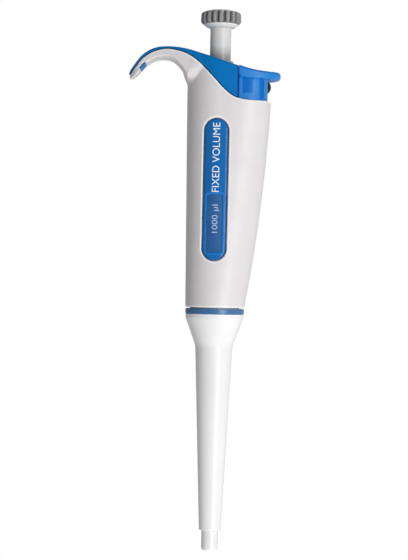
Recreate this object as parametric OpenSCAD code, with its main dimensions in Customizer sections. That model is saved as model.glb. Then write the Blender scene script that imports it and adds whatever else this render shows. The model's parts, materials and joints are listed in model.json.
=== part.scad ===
// Fixed-volume air-displacement pipette, hook-handled, with thumb ejector.
// Millimetres. The origin is the centre of the nozzle's open end. +Z runs up the
// plunger's axis, +X points to the ejector side and -X to the finger hook.

/* [Stroke] */
// Diameter of the piston
piston_d = 11.3; // [11.1:0.1:11.4]
// Travel to the first stop, which draws the stated volume
stroke = 10; // [9.5:0.1:10.2]
// Further travel to the second stop, which blows out the last drop
blowout = 2; // [1:0.1:2.2]

/* [Handle] */
// Height of the handle's lower edge
handle_z0 = 111.7; // [111.5:0.1:112]
// Radius of the handle at its lower edge
handle_r0 = 13.55; // [13.4:0.05:13.7]
// Radius of the handle's hook side at the rim
handle_r1 = 14.75; // [14.6:0.05:15]
// Distance from the axis to the rear wall at the rim
rear_x = 23.9; // [23.8:0.1:24.2]
// Height of the rim that the ejector button enters
rim_z = 206.6; // [206.4:0.1:206.8]
// Thickness of the moulded walls
wall = 1.7; // [1.5:0.1:1.8]

/* [Hook and top cover] */
// Half width of the hook where it leaves the handle
hook_w = 12.2; // [11.5:0.1:12.5]
// Half width of the hook at its tip
tip_w = 7.6; // [7:0.1:8]
// Flat rear end of the top cover
cover_x = 9.1; // [9:0.05:9.15]

/* [Push button] */
// Overall height, to the top of the push button
overall_h = 248.7; // [248.2:0.1:249.2]
// Diameter of the push button
knob_d = 18.8; // [18:0.1:19.4]
// Number of grip flutes around the push button
flutes = 18; // [16:1:20]
// Diameter of the plunger sleeve
sleeve_d = 9.6; // [9.4:0.1:9.6]

/* [Ejector] */
// Travel of the ejector
eject = 6.5; // [5:0.5:6.5]
// Travel of the release catch
catch_travel = 1.2; // [0.8:0.1:1.3]
// Height of the ejector sleeve's lower end
cone_z0 = 9.4; // [9:0.1:9.6]
// Outer radius of the ejector sleeve's lower end
cone_r0 = 5; // [4.95:0.05:5.1]
// Outer radius of the cone where the funnel starts
cone_r1 = 8.55; // [8.5:0.05:8.7]
// Height where the funnel starts
funnel_z0 = 94.2; // [94:0.1:94.4]
// Height of the funnel's lip
funnel_z1 = 107.3; // [107.2:0.1:107.4]
// Outer radius of the funnel's lip
lip_r = 13.35; // [13.3:0.05:13.4]

/* [Nozzle] */
// Radius of the nozzle's sealing land
nozzle_r = 3.8; // [3.75:0.05:3.8]
// Radius of the nozzle's bore
nozzle_bore = 1.6; // [1.2:0.1:2]

/* [Name plate] */
// Width of the plate
plate_w = 11.3; // [10.8:0.1:11.6]
// Lowest point of the plate
plate_z0 = 132.9; // [132:0.1:133.5]
// Highest point of the plate
plate_z1 = 197.8; // [197:0.1:198.5]
// Place of the plate's centre line beside the axis
plate_x = -1.05; // [-1.3:0.05:-0.8]

/* [Hidden] */

$fn = 64;
run_gap = 0.08;     // radial clearance of a running fit
seat_gap = 0.05;    // clearance between pieces that are fixed together
free_gap = 0.3;     // clearance between faces that pass each other

// ---- handle body: rings of a lofted section
ring_sides = 48;
skin_z1 = 233;      // the loft is carried past the top cover and then trimmed
ring_step = 6;

// ---- levels of the inner parts, from the nozzle up
land_z = 9.2;            // the nozzle's sealing land ends, the shaft starts
shaft_z = 86;            // the narrow shaft of the tip cone ends, the cylinder starts
flange_z = 104;          // flange that the nut clamps
tube_z0 = 107.8;         // lower end of the chassis tube
nut_z0 = 103.2;
nut_z1 = 113;
seal_h = 1.8;
seat_z = 128;            // fixed seat of the blowout spring
seat_t = 3;
cup_z = 147;             // underside of the stop cup
cup_t = 3;
shelf_z = 166;           // shelf that carries the ejector spring
shelf_t = 3;
ledge_z = 184;           // ledge of the handle that carries the chassis flange
bed = 1;                 // depth of the name plate's bed in the handle's face
stop_z = 196.2;          // underside of the calibration collar, the upper stop
tube_z1 = 200;           // upper end of the chassis tube
collar_z1 = 225;         // visible end of the calibration collar
sleeve_z1 = 240.1;       // underside of the plunger's flange
knob_z = 241.7;          // lower edge of the push button

// ---- radii of the inner parts
tube_r = 9;
tube_bore = 7.9;
rod_r = 1.95;
collar_r = 6;
sleeve_r = sleeve_d / 2;
piston_r = piston_d / 2;
nut_r = 9.8;
neck_bore = 10.4;
neck_r = 11.4;
nose_bore = 12.1;        // counterbore in the handle's lower end
ring_z0 = funnel_z1 + 1.4;
ring_z1 = 111.2;

// ---- ejector
button_x0 = 9.55;        // front of the button's box
button_x1 = 22.1;        // rear of the button's box
button_w = 11.9;         // half width of the box
button_z0 = 201;
pad_z0 = 216.3;          // underside of the thumb pad
skirt_t = 1.2;
arm_x = 10.1;
arm_t = 1;
arm_w = 2.5;
yoke_z = 197;
yoke_t = 1.5;
pin_x = 14.8;
pin_r = 1.3;
screw_y = 7;
catch_z = 213.3;
catch_r = 2.75;
catch_wall = 20.6;       // inner face of the box's rear wall
rib_x = 12.5;            // wall inside the box that backs the catch's spring
rib_t = 1.3;

// ---- side outlines, as points of smooth curves in X and Z
top_curve = [[-42.3, 216.5], [-42.3, 217.4], [-41.6, 219], [-40, 221.2], [-35.6, 226.5],
             [-30.1, 229.6], [-23.7, 230.3], [-16.3, 229.6], [-8.5, 227.5], [0, 224.8], [9.1, 222]];
split_curve = [[-41.9, 216.3], [-40.6, 218.6], [-36.4, 223.8], [-32.8, 226.5], [-29.2, 227.9],
               [-24.6, 228.6], [-20, 228], [-16.3, 227], [-13, 225.6], [-9.3, 222.9], [-5.5, 219.2],
               [-1.7, 215.2], [2, 211.3], [5.8, 208.4], [9.5, 207.1], [14, rim_z], [26, rim_z]];
under_curve = [[-41.8, 216.1], [-41.2, 216], [-39.9, 216.2], [-38.1, 217.6], [-35.4, 220.5],
               [-32.7, 223.2], [-29.1, 225], [-25.4, 225.4], [-21.7, 224.6], [-17.9, 221.3],
               [-15.3, 217], [-14.85, 214.4]];

// ---- functions

// Point at t in 0..1 between b and c of a curve through a, b, c, d
function curve_at(a, b, c, d, t) =
    0.5 * (2 * b + (c - a) * t + (2 * a - 5 * b + 4 * c - d) * t * t + (3 * b - a - 3 * c + d) * t * t * t);

// Smooth curve through the points, k steps to each stretch
function smooth_curve(p, k) =
    let (n = len(p) - 1)
    concat([for (i = [0 : n - 1], j = [0 : k - 1])
        curve_at(p[max(i - 1, 0)], p[i], p[i + 1], p[min(i + 2, n)], j / k)], [p[n]]);

function reversed(p) = [for (i = [len(p) - 1 : -1 : 0]) p[i]];
function moved(p, dx, dz) = [for (q = p) [q[0] + dx, q[1] + dz]];

// The curve pushed sideways by d, to the left of the way it runs
function beside(p, d) =
    [for (i = [0 : len(p) - 1])
        let (step = p[min(i + 1, len(p) - 1)] - p[max(i - 1, 0)])
        p[i] + [-step[1], step[0]] * d / norm(step)];

function ease(t) = let (u = min(max(t, 0), 1)) u * u * (3 - 2 * u);
function share(z, z0, z1) = min(max((z - z0) / (z1 - z0), 0), 1);

// Handle section: the hook side's radius, the rear's reach and how square each half is
function front_r(z) = handle_r0 + (handle_r1 - handle_r0) * share(z, handle_z0, rim_z);
function rear_reach(z) =
    let (t = share(z, handle_z0, rim_z)) handle_r0 + (rear_x - handle_r0) * t * (1.6 - 0.6 * t);
function rear_power(z) = 2 + share(z, handle_z0, rim_z);
function front_power(z) = 2 + 2.5 * ease((z - 202) / 16);
function bent(c, r, power) = r * sign(c) * pow(abs(c), 2 / power);

function ring_at(z, inset) =
    [for (i = [0 : ring_sides - 1])
        let (u = 360 * i / ring_sides, rear = cos(u) > 0, power = rear ? rear_power(z) : front_power(z))
        [bent(cos(u), (rear ? rear_reach(z) : front_r(z)) - inset, power),
         bent(sin(u), front_r(z) - inset, power), z]];

// Half width of the hook at x
function hook_half(x) =
    let (end_x = -42.4, round_x = end_x + tip_w, t = share(x, round_x, -14))
    x < round_x ? tip_w * sqrt(max(1 - pow((round_x - x) / tip_w, 2), 0))
                : tip_w + (hook_w - tip_w) * t;

// ---- shared shapes

// Closed skin through a list of rings of equal length
module loft(rings) {
    n = len(rings[0]);
    m = len(rings);
    points = [for (r = rings) for (p = r) p];
    sides = [for (k = [0 : m - 2], i = [0 : n - 1])
        let (a = k * n + i, b = k * n + (i + 1) % n)
        each [[a, a + n, b + n], [a, b + n, b]]];
    bottom = [[for (i = [0 : n - 1]) i]];
    top = [[for (i = [n - 1 : -1 : 0]) (m - 1) * n + i]];
    polyhedron(points = points, faces = concat(sides, bottom, top));
}

// Handle body, inset from its outer face, between two heights
module body_skin(inset, z0, z1) {
    steps = ceil((z1 - z0) / ring_step);
    loft([for (k = [0 : steps]) ring_at(z0 + (z1 - z0) * k / steps, inset)]);
}

// Side outline in X and Z, extruded across the whole width
module across(points, half = 20) {
    rotate([90, 0, 0]) linear_extrude(2 * half, center = true) polygon(points);
}

// Hook seen from above, inset from its edge
module hook_plan(inset, x0 = -42.4, x1 = -6) {
    xs = [for (i = [0 : 24]) x0 + inset + (x1 - x0 - inset) * (1 - cos(90 * i / 24))];
    upper = [for (x = xs) [x, max(hook_half(x - inset) - inset, 0.05)]];
    lower = [for (p = reversed(upper)) [p[0], -p[1]]];
    translate([0, 0, 213.5]) linear_extrude(20) polygon(concat(upper, lower));
}

module body_and_hook() {
    body_skin(0, handle_z0, skin_z1);
    hook_plan(0);
}

// Everything below the split line, down to the hook's underside
module below_split(drop = 0, lift = 0, front = -15.6) {
    split = moved(smooth_curve(split_curve, 4), 0, -drop);
    under = beside(smooth_curve(under_curve, 4), lift);
    across(concat(split, [[26, 100], [front, 100], [front, 213]], reversed(under)));
}

// Everything between the split line and the top line, as far back as rear
module above_split(rear, rise = 0, drop = 0) {
    top = moved([for (p = smooth_curve(top_curve, 4)) if (p[0] < rear) p], 0, -drop);
    split = moved([for (p = smooth_curve(split_curve, 4)) if (p[0] < rear) p], 0, rise);
    rear_z = split[len(split) - 1][1];
    across(concat(top, [[rear, top[len(top) - 1][1]], [rear, rear_z]], reversed(split)));
}

// Upright stadium on the handle's front
module stadium(grow) {
    r = plate_w / 2 + grow;
    for (z = [plate_z0 + plate_w / 2, plate_z1 - plate_w / 2])
        translate([plate_x, 0, z]) rotate([90, 0, 0]) cylinder(r = r, h = 20);
    translate([plate_x - r, -20, plate_z0 + plate_w / 2]) cube([2 * r, 20, plate_z1 - plate_z0 - plate_w]);
}

module tube(r_out, r_in, z0, z1) {
    translate([0, 0, z0]) difference() {
        cylinder(r = r_out, h = z1 - z0);
        translate([0, 0, -1]) cylinder(r = r_in, h = z1 - z0 + 2);
    }
}

// Coil spring, swept as six-sided wire along a helix whose ends lie close
module coil(mean_r, wire_r, z0, z1, turns) {
    per_turn = 14;
    count = turns * per_turn;
    wire = wire_r * 0.98;
    span = z1 - z0 - 2 * wire;
    loft([for (k = [0 : count])
        let (a = 360 * k / per_turn, t = k / count, z = z0 + wire + span * (t - 0.06 * sin(360 * t)))
        [for (i = [0 : 5]) let (w = -60 * i, r = mean_r + wire * cos(w))
            [r * cos(a), r * sin(a), z + wire * sin(w)]]]);
}

// ---- fixed pieces

module handle_shell() {
    color("white") difference() {
        intersection() {
            body_and_hook();
            below_split();
        }
        intersection() {
            body_skin(wall, handle_z0 - 1, skin_z1);
            across([[-20, 125], [30, 125], [30, 230], [-20, 230]]);
            across([[-13, 0], [30, 0], [30, 240], [-13, 240]]);
        }
        translate([0, 0, handle_z0 - 1]) cylinder(r = nose_bore, h = 126 - handle_z0);
        hook_channel();
        stadium_recess();
        ejector_pocket();
        rear_notch();
        snap_slot();
    }
    color("white") chassis_ledge();
}

// Channel inside the hook, open upwards and closed by the top cover
module hook_channel() {
    intersection() {
        hook_plan(wall);
        below_split(drop = -2, lift = wall, front = 1 - handle_r1 + wall);
    }
}

// Shallow bed for the name plate
module stadium_recess() {
    intersection() {
        stadium(seat_gap);
        difference() {
            translate([-20, -20, plate_z0 - 2]) cube([40, 20, plate_z1 - plate_z0 + 4]);
            body_skin(bed, plate_z0 - 3, plate_z1 + 3);
        }
    }
}

// Widens the handle's rim for the ejector button's box, down to where it travels
module ejector_pocket() {
    translate([0, 0, button_z0 - eject - 0.8]) linear_extrude(40) polygon(box_outline(-free_gap));
}

// The release catch sinks into this notch when the ejector is pressed
module rear_notch() {
    depth = eject - (catch_z - catch_r - rim_z) + 0.6;
    translate([18, -catch_r - 0.6, rim_z - depth]) cube([8, 2 * catch_r + 1.2, 20]);
}

// Window in the hook's underside that the cover's snap tab shows through
module snap_slot(gap = 0, reach = 0) {
    translate([-35, 0, 221]) rotate([0, -47, 0]) translate([0, 0, reach / 2])
        cube([3.6 - gap, 13.8 - gap, 5 + reach - gap], center = true);
}

// Half-round ledge that the chassis flange is screwed down to
module chassis_ledge() {
    difference() {
        intersection() {
            body_skin(bed + 0.1, ledge_z - 5, ledge_z);
            translate([-20, -20, ledge_z - 5]) cube([18, 40, 5]);
        }
        translate([0, 0, ledge_z - 6]) cylinder(r = 9.3, h = 7);
        screw_places() translate([0, 0, -5]) cylinder(r = 0.85, h = 6);
    }
}

module screw_places() {
    for (side = [-1, 1]) rotate([0, 0, 180 + side * 45]) translate([10.9, 0, ledge_z]) children();
}

module top_cover() {
    color("dodgerblue") difference() {
        intersection() {
            body_and_hook();
            above_split(cover_x, rise = 0.12);
        }
        intersection() {
            body_skin(wall, 200, skin_z1);
            above_split(cover_x - 1.3, rise = -4, drop = 1.5);
            across([[-13, 0], [30, 0], [30, 240], [-13, 240]]);
        }
        translate([0, 0, 200]) cylinder(r = collar_r + 0.15, h = 40);
    }
    color("dodgerblue") intersection() {
        union() {
            snap_slot(0.2);
            intersection() {
                snap_slot(0.2, 1.5);
                hook_plan(wall + 0.3);
            }
        }
        below_split(drop = -0.6, lift = 0.3);
    }
}

module name_plate() {
    color("royalblue") difference() {
        intersection() {
            stadium(0);
            difference() {
                body_skin(-0.15, plate_z0 - 2, plate_z1 + 2);
                body_skin(bed - seat_gap, plate_z0 - 3, plate_z1 + 3);
            }
        }
        label_window(0, 0.5);
    }
}

// Rectangular pocket for the volume label, cut to a depth below the handle's face
module label_window(gap, depth) {
    difference() {
        translate([-4.75 + gap, -20, 136.8 + gap]) cube([7.15 - 2 * gap, 20, 26.2 - 2 * gap]);
        body_skin(depth, 130, 170);
    }
}

module volume_label() {
    color("steelblue") intersection() {
        label_window(0.1, 0.48);
        body_skin(0.25, 131, 169);
    }
}

module chassis_tube() {
    color("gainsboro") difference() {
        union() {
            translate([0, 0, tube_z0]) cylinder(r = tube_r, h = tube_z1 - tube_z0);
            intersection() {
                translate([0, 0, ledge_z + seat_gap]) cylinder(r = 12.2, h = 2.5);
                translate([-20, -20, ledge_z]) cube([28.5, 40, 3]);
            }
            translate([0, -5.5, shelf_z]) cube([17.6, 11, shelf_t]);
        }
        translate([0, 0, tube_z0 - 1]) cylinder(r = tube_bore, h = tube_z1 - tube_z0 + 2);
        translate([arm_x - free_gap, -arm_w - 0.4, shelf_z - 1]) cube([arm_t + 2 * free_gap, 5.8, shelf_t + 2]);
        translate([pin_x, 0, shelf_z - 1]) cylinder(r = pin_r, h = shelf_t + 2);
        screw_places() translate([0, 0, -1]) cylinder(r = 1.1, h = 5);
    }
}

module chassis_screws() {
    color("silver") screw_places() difference() {
        union() {
            translate([0, 0, -4]) cylinder(r = 0.8, h = 6.7);
            translate([0, 0, 2.6]) cylinder(r = 1.6, h = 1.2);
        }
        translate([-0.25, -2, 3.2]) cube([0.5, 4, 1]);
    }
}

module calibration_collar() {
    color("darkgray") difference() {
        union() {
            translate([0, 0, stop_z]) cylinder(r = tube_bore - seat_gap, h = tube_z1 - stop_z + 1);
            translate([0, 0, tube_z1 + seat_gap]) cylinder(r = 8.8, h = 2.5, $fn = 12);
            translate([0, 0, tube_z1]) cylinder(r = collar_r, h = collar_z1 - tube_z1);
        }
        translate([0, 0, stop_z - 1]) cylinder(r = sleeve_r + run_gap, h = collar_z1 - stop_z + 2);
    }
}

module stop_ring() {
    color("silver") tube(tube_bore - seat_gap, 6.8, cup_z + cup_t + 0.3, cup_z + cup_t + 1.5);
}

module spring_seat() {
    color("silver") tube(tube_bore - seat_gap, 2.6, seat_z, seat_z + seat_t);
}

module blowout_spring() {
    color("gray") coil(5.6, 0.8, seat_z + seat_t + 0.02, cup_z - 0.02, 5);
}

// Nozzle, shaft and cylinder in one moulding
module tip_cone() {
    bore_top = tube_z0 + 1;
    color("whitesmoke") difference() {
        union() {
            translate([0, 0, 0.6]) cylinder(r = nozzle_r, h = land_z - 0.6);
            cylinder(r1 = nozzle_r - 0.5, r2 = nozzle_r, h = 0.6);
            translate([0, 0, land_z]) cylinder(r1 = nozzle_r, r2 = 6.2, h = shaft_z - land_z);
            translate([0, 0, shaft_z]) cylinder(r1 = 6.2, r2 = 6.9, h = 2);
            translate([0, 0, shaft_z + 2]) cylinder(r = 6.9, h = tube_z0 - shaft_z - 2);
            translate([0, 0, flange_z]) cylinder(r = 8.9, h = tube_z0 - flange_z);
        }
        translate([0, 0, -1]) cylinder(r = nozzle_bore, h = 60);
        translate([0, 0, 20]) cylinder(r1 = nozzle_bore, r2 = 4.4, h = 65);
        translate([0, 0, shaft_z + 1]) cylinder(r = piston_r + free_gap, h = bore_top - shaft_z);
        translate([0, 0, shaft_z - 1.01]) cylinder(r = 4.4, h = 3);
    }
}

module cylinder_nut() {
    color("silver") difference() {
        translate([0, 0, nut_z0]) cylinder(r = nut_r, h = nut_z1 - nut_z0);
        translate([0, 0, nut_z0 - 1]) cylinder(r = 7.1, h = 20);
        translate([0, 0, flange_z - seat_gap]) cylinder(r = tube_r + seat_gap, h = 20);
        for (i = [0 : 23]) rotate([0, 0, 15 * i])
            translate([nut_r + 0.3, 0, nut_z0 + 1]) cylinder(r = 0.6, h = 6, $fn = 16);
    }
}

module piston_seal() {
    color("ivory") tube(tube_bore - seat_gap, piston_r + seat_gap, tube_z0 + 0.02, tube_z0 + seal_h);
}

module seal_ring() {
    wire = 0.95;
    color("black") translate([0, 0, tube_z0 + seal_h + wire + 0.02])
        rotate_extrude() translate([6.85, 0]) circle(r = wire);
}

module seal_retainer() {
    low = tube_z0 + seal_h + 1.96;
    color("gainsboro") tube(tube_bore - seat_gap, piston_r + run_gap, low, low + 3);
}

module ejector_guide_pin() {
    color("silver") translate([pin_x, 0, shelf_z]) cylinder(r = pin_r - 0.005, h = 33);
}

// ---- second-stop stage

module stop_cup() {
    color("whitesmoke") tube(7.5, rod_r + 0.35, cup_z, cup_z + cup_t);
    color("whitesmoke") tube(4.2, rod_r + 0.35, seat_z + seat_t + blowout + 0.2, cup_z + 1);
}

module main_spring() {
    color("gray") coil(5.9, 0.55, cup_z + cup_t + 0.02, 191.98, 8);
}

// ---- plunger

module spring_carrier() {
    stop_end = cup_z + cup_t + stroke + 0.2;
    color("whitesmoke") tube(7.5, rod_r + run_gap, 192, stop_z - 0.25);
    color("whitesmoke") tube(5, 3.8, stop_end, 193);
}

module plunger_sleeve() {
    color("lightgray") difference() {
        union() {
            translate([0, 0, stop_z - 0.2]) cylinder(r = sleeve_r, h = sleeve_z1 - stop_z + 1);
            translate([0, 0, sleeve_z1]) rotate_extrude() flange_outline();
        }
        translate([0, 0, stop_z - 1]) cylinder(r = rod_r + 0.02, h = 60);
    }
}

// Flared flange under the push button, from the sleeve out to the button's lower edge
module flange_outline() {
    flare = [for (a = [0 : 15 : 90]) [sleeve_r + 3 * (1 - cos(a)), 1.7 * sin(a)]];
    polygon(concat([[0, 0]], flare, [[7.9, 1.7], [7.9, 2.1], [0, 2.1]]));
}

module push_button() {
    r = knob_d / 2;
    dome_r = 22;
    color("gray") difference() {
        intersection() {
            translate([0, 0, knob_z]) rotate_extrude()
                polygon([[0, 0.5], [8, 0.5], [8, 0], [8.4, 0], [r, 1.6], [r - 0.4, 5.1], [r - 0.9, 5.6], [0, 8]]);
            translate([0, 0, overall_h - dome_r]) sphere(r = dome_r);
        }
        translate([0, 0, knob_z - 1]) cylinder(r = rod_r + 0.02, h = 3.2);
        for (i = [0 : flutes - 1]) rotate([0, 0, 360 * i / flutes])
            translate([r + 0.2, 0, knob_z - 1]) cylinder(r = 0.95, h = 8, $fn = 16);
    }
}

module operating_rod() {
    color("silver") translate([0, 0, 113]) cylinder(r = rod_r, h = 130);
}

module rod_clip() {
    color("dimgray") tube(3.4, rod_r + 0.01, 191, 191.8);
}

module piston() {
    color("ivory") difference() {
        translate([0, 0, shaft_z + 14.5]) cylinder(r = piston_r, h = 21.5);
        translate([0, 0, 112.9]) cylinder(r = rod_r + 0.01, h = 20);
    }
}

// ---- ejector

// Plan outline of the button's box: a rounded rear and a flat front
function box_outline(inset) =
    let (reach = button_x1 - inset, half = button_w - inset, power = 3.6)
    concat([[button_x0 + inset, -half], [button_x0 + inset, half]],
           [for (u = [84 : -6 : -84]) if (bent(cos(u), reach, power) > button_x0 + inset + 0.5)
               [bent(cos(u), reach, power), bent(sin(u), half, power)]]);

// Plan outline of the thumb pad
function pad_outline() =
    concat([[button_x0, -11.6], [button_x0, 11.6]],
           [for (u = [80 : -8 : -80]) if (bent(cos(u), 28.2, 2.8) > button_x0 + 0.5)
               [bent(cos(u), 28.2, 2.8), bent(sin(u), 12.9, 2.8)]]);

pad_profile = [[button_x0, 218.2], [10.6, 216.8], [13, pad_z0], [23, pad_z0], [27, 216.7],
               [28, 217.3], [28.2, 218.2], [27.7, 219], [26.4, 219.4], [22, 219.5], [17, 220.2],
               [13, 221], [button_x0, 222]];

module ejector_button() {
    color("cornflowerblue") difference() {
        union() {
            translate([0, 0, button_z0]) linear_extrude(pad_z0 + 1 - button_z0) polygon(box_outline(0));
            intersection() {
                across(pad_profile);
                translate([0, 0, pad_z0 - 1]) linear_extrude(10) polygon(pad_outline());
            }
        }
        difference() {
            translate([0, 0, button_z0 - 1])
                linear_extrude(pad_z0 + 1 - button_z0) polygon(box_outline(skirt_t));
            screw_bosses();
            catch_rib();
        }
        for (side = [-1, 1]) translate([pin_x, side * screw_y, button_z0 - 3]) cylinder(r = 0.85, h = 8);
        translate([catch_wall - 1, 0, catch_z]) rotate([0, 90, 0]) cylinder(r = catch_r + run_gap, h = 6);
    }
    color("cornflowerblue") for (side = [-1, 1]) translate([pin_x, side * screw_y, 0])
        tube(2.2, 0.85, yoke_z + yoke_t + 0.02, button_z0 + 0.5);
}

module screw_bosses() {
    for (side = [-1, 1]) translate([pin_x, side * screw_y, button_z0 - 2]) cylinder(r = 2.2, h = 20);
}

// Wall inside the box that backs the catch's spring
module catch_rib() {
    translate([rib_x, -13, catch_z - 4]) cube([rib_t, 26, 10]);
}

// Steel strip from the yoke under the button down to the sleeve's neck
module ejector_arm() {
    color("silver") difference() {
        union() {
            translate([arm_x, -arm_w, 110]) cube([arm_t, 2 * arm_w, yoke_z + yoke_t - 110]);
            translate([arm_x, -arm_w, yoke_z]) cube([3, 2 * arm_w, yoke_t]);
            translate([arm_x + 1.6, -8.9, yoke_z]) cube([5.5, 17.8, yoke_t]);
        }
        translate([pin_x, 0, yoke_z - 1]) cylinder(r = pin_r + 0.06, h = 4);
        for (side = [-1, 1]) translate([pin_x, side * screw_y, yoke_z - 1]) cylinder(r = 1.1, h = 4);
    }
}

module ejector_screws() {
    color("silver") for (side = [-1, 1]) translate([pin_x, side * screw_y, yoke_z]) difference() {
        union() {
            translate([0, 0, -1]) cylinder(r = 0.8, h = 7);
            translate([0, 0, -1.25]) cylinder(r = 1.7, h = 1.2);
        }
        translate([-0.25, -2, -2]) cube([0.5, 4, 1.2]);
    }
}

module ejector_spring() {
    color("gray") translate([pin_x, 0, 0]) coil(2.3, 0.35, shelf_z + shelf_t + 0.02, yoke_z - 0.02, 8);
}

module sleeve_neck() {
    color("whitesmoke") difference() {
        tube(neck_r, neck_bore, 106, 120);
        translate([arm_x - 0.02, -arm_w - 0.02, 110 - 0.02]) cube([3, 2 * arm_w + 0.04, 20]);
    }
}

module sleeve_ring() {
    color("steelblue") tube(lip_r + 0.12, neck_r + 0.02, ring_z0 + 0.02, ring_z1);
}

// White cone around the tip cone, with its funnel and lip
module ejector_sleeve() {
    slope = (cone_r1 - cone_r0) / (funnel_z0 - cone_z0);
    sleeve_bore = 4.15;
    color("white") difference() {
        union() {
            translate([0, 0, cone_z0]) cylinder(r1 = cone_r0 - 0.3, r2 = cone_r0, h = 0.3);
            translate([0, 0, cone_z0 + 0.3])
                cylinder(r1 = cone_r0, r2 = cone_r1, h = funnel_z0 - cone_z0 - 0.3);
            translate([0, 0, funnel_z0]) cylinder(r1 = cone_r1, r2 = lip_r, h = funnel_z1 - funnel_z0);
            translate([0, 0, funnel_z1]) cylinder(r = lip_r, h = ring_z0 - funnel_z1);
        }
        translate([0, 0, cone_z0 - 1]) cylinder(r = sleeve_bore, h = 4);
        translate([0, 0, cone_z0 + 1])
            cylinder(r1 = sleeve_bore, r2 = sleeve_bore + slope * (funnel_z0 - cone_z0), h = funnel_z0 - cone_z0);
        translate([0, 0, funnel_z0 + 0.9]) cylinder(r1 = 7.65, r2 = neck_r + 0.4, h = 11);
        translate([0, 0, 106]) cylinder(r = neck_r + 0.02, h = 4);
    }
}

// ---- release catch, sprung into the button's box

module release_catch() {
    sag = 1.35;
    stem_end = rib_x + rib_t + catch_travel + 1;
    dome_r = (catch_r * catch_r + sag * sag) / (2 * sag);
    color("black") translate([0, 0, catch_z]) rotate([0, 90, 0]) {
        intersection() {
            translate([0, 0, catch_wall - 1.8]) cylinder(r = 3.6, h = 1.6);
            cube([5.5, 8, 2 * catch_wall], center = true);
        }
        translate([0, 0, catch_wall - 0.3]) cylinder(r = catch_r, h = 2);
        translate([0, 0, stem_end]) cylinder(r = 1.2, h = catch_wall - 1.6 - stem_end);
        intersection() {
            translate([0, 0, catch_wall + 1.7 + sag - dome_r]) sphere(r = dome_r);
            translate([0, 0, catch_wall + 1.6]) cylinder(r = catch_r, h = 3);
        }
    }
}

module catch_spring() {
    color("gray") translate([0, 0, catch_z]) rotate([0, 90, 0]) coil(1.9, 0.3, rib_x + rib_t + 0.02, catch_wall - 1.82, 4);
}

handle_shell();
top_cover();
name_plate();
volume_label();
chassis_tube();
chassis_screws();
calibration_collar();
stop_ring();
spring_seat();
blowout_spring();
tip_cone();
cylinder_nut();
piston_seal();
seal_ring();
seal_retainer();
ejector_guide_pin();
stop_cup();
main_spring();
spring_carrier();
plunger_sleeve();
push_button();
operating_rod();
rod_clip();
piston();
ejector_button();
ejector_arm();
ejector_screws();
ejector_spring();
sleeve_neck();
sleeve_ring();
ejector_sleeve();
release_catch();
catch_spring();
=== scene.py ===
"""Looks of a fixed-volume pipette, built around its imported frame.

The moulded shells are written as distance fields in millimetres, with rounded edges and fillets, and
meshed by a surface net whose points are drawn onto the surface. Turned parts are lathes. Parts that
don't show keep their CAD mesh and only get a material.
"""

import json
import math

import bmesh
import bpy
import numpy as np
from mathutils import Matrix, Vector


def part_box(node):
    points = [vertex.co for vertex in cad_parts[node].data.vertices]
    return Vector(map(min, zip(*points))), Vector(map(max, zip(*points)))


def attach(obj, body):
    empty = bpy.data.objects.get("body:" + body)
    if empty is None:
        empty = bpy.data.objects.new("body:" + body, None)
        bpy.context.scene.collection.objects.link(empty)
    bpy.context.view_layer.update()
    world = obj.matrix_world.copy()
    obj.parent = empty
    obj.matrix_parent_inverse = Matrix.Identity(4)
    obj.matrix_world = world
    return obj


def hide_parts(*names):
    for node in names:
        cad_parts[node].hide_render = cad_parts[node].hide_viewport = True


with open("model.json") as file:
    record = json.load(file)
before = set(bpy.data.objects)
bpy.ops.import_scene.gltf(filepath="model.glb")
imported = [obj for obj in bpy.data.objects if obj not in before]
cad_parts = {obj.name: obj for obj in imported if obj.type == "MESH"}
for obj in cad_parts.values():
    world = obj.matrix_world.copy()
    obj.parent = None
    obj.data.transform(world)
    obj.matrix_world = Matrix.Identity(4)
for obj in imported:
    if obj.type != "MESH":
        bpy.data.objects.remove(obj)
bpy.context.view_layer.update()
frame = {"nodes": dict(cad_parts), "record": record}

MM = 0.001
FINE = 0.44       # grid pitch of the moulded pieces, mm
COARSE = 1.2                             # the same up the plain stretches of the handle
MARGIN = 1.3                             # room around a moulded piece's box on its grid, mm


def node_box(name):
    """Lowest and highest corner of a CAD node, in millimetres."""
    low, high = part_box(name)
    return np.array(low) / MM, np.array(high) / MM


# ---------------------------------------------------------------- sizes, from the frame

shell_low, shell_high = node_box("handle_shell")
cover_low, cover_high = node_box("top_cover")
plate_low, plate_high = node_box("name_plate")
label_low, label_high = node_box("volume_label")
button_low, button_high = node_box("ejector_button")
sleeve_low, sleeve_high = node_box("ejector_sleeve")
ring_low, ring_high = node_box("sleeve_ring")
plunger_low, plunger_high = node_box("plunger_sleeve")
knob_high = node_box("push_button")[1]
collar_high = node_box("calibration_collar")[1]

HANDLE_Z0 = shell_low[2]                 # lower edge of the handle
HANDLE_R0 = 13.55                        # its radius there
HANDLE_R1 = shell_high[1]                # half depth at the rim
REAR_X = shell_high[0]                   # rear wall at the rim
RIM_Z = 206.6                            # rim that the ejector button enters
WALL = 1.7
HOOK_W = 11.8                            # half width of the hook at the handle
TIP_W = 7.6                              # and at its tip
TIP_X = shell_low[0]
ROOT_X = -14                             # where the hook meets the handle
COVER_X = cover_high[0] - 0.7            # flat rear end of the cover
SEAM = 0.12                              # seam between the cover and the ejector button
BED = 1.0                                # depth of the name plate's bed
HOLLOW_X = -13                           # front end of the hollow in the handle and the cover
HOLLOW_Z = 125                           # lower end of the handle's hollow
NOSE_R = 12.1                            # bore below it, for the ejector's ring and neck
LEDGE_Z = (179, 184)                     # ledge that holds the mechanism's flange
LEDGE_R = 9.3                            # hole through the ledge
POCKET_Z = 194.2                         # floor of the ejector button's pocket
PAD_Z = 216.3                            # underside of the ejector button's pad
BOX_REACH, BOX_HALF = 22.1, 11.9         # the box under the pad, to the rear and to either side
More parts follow.
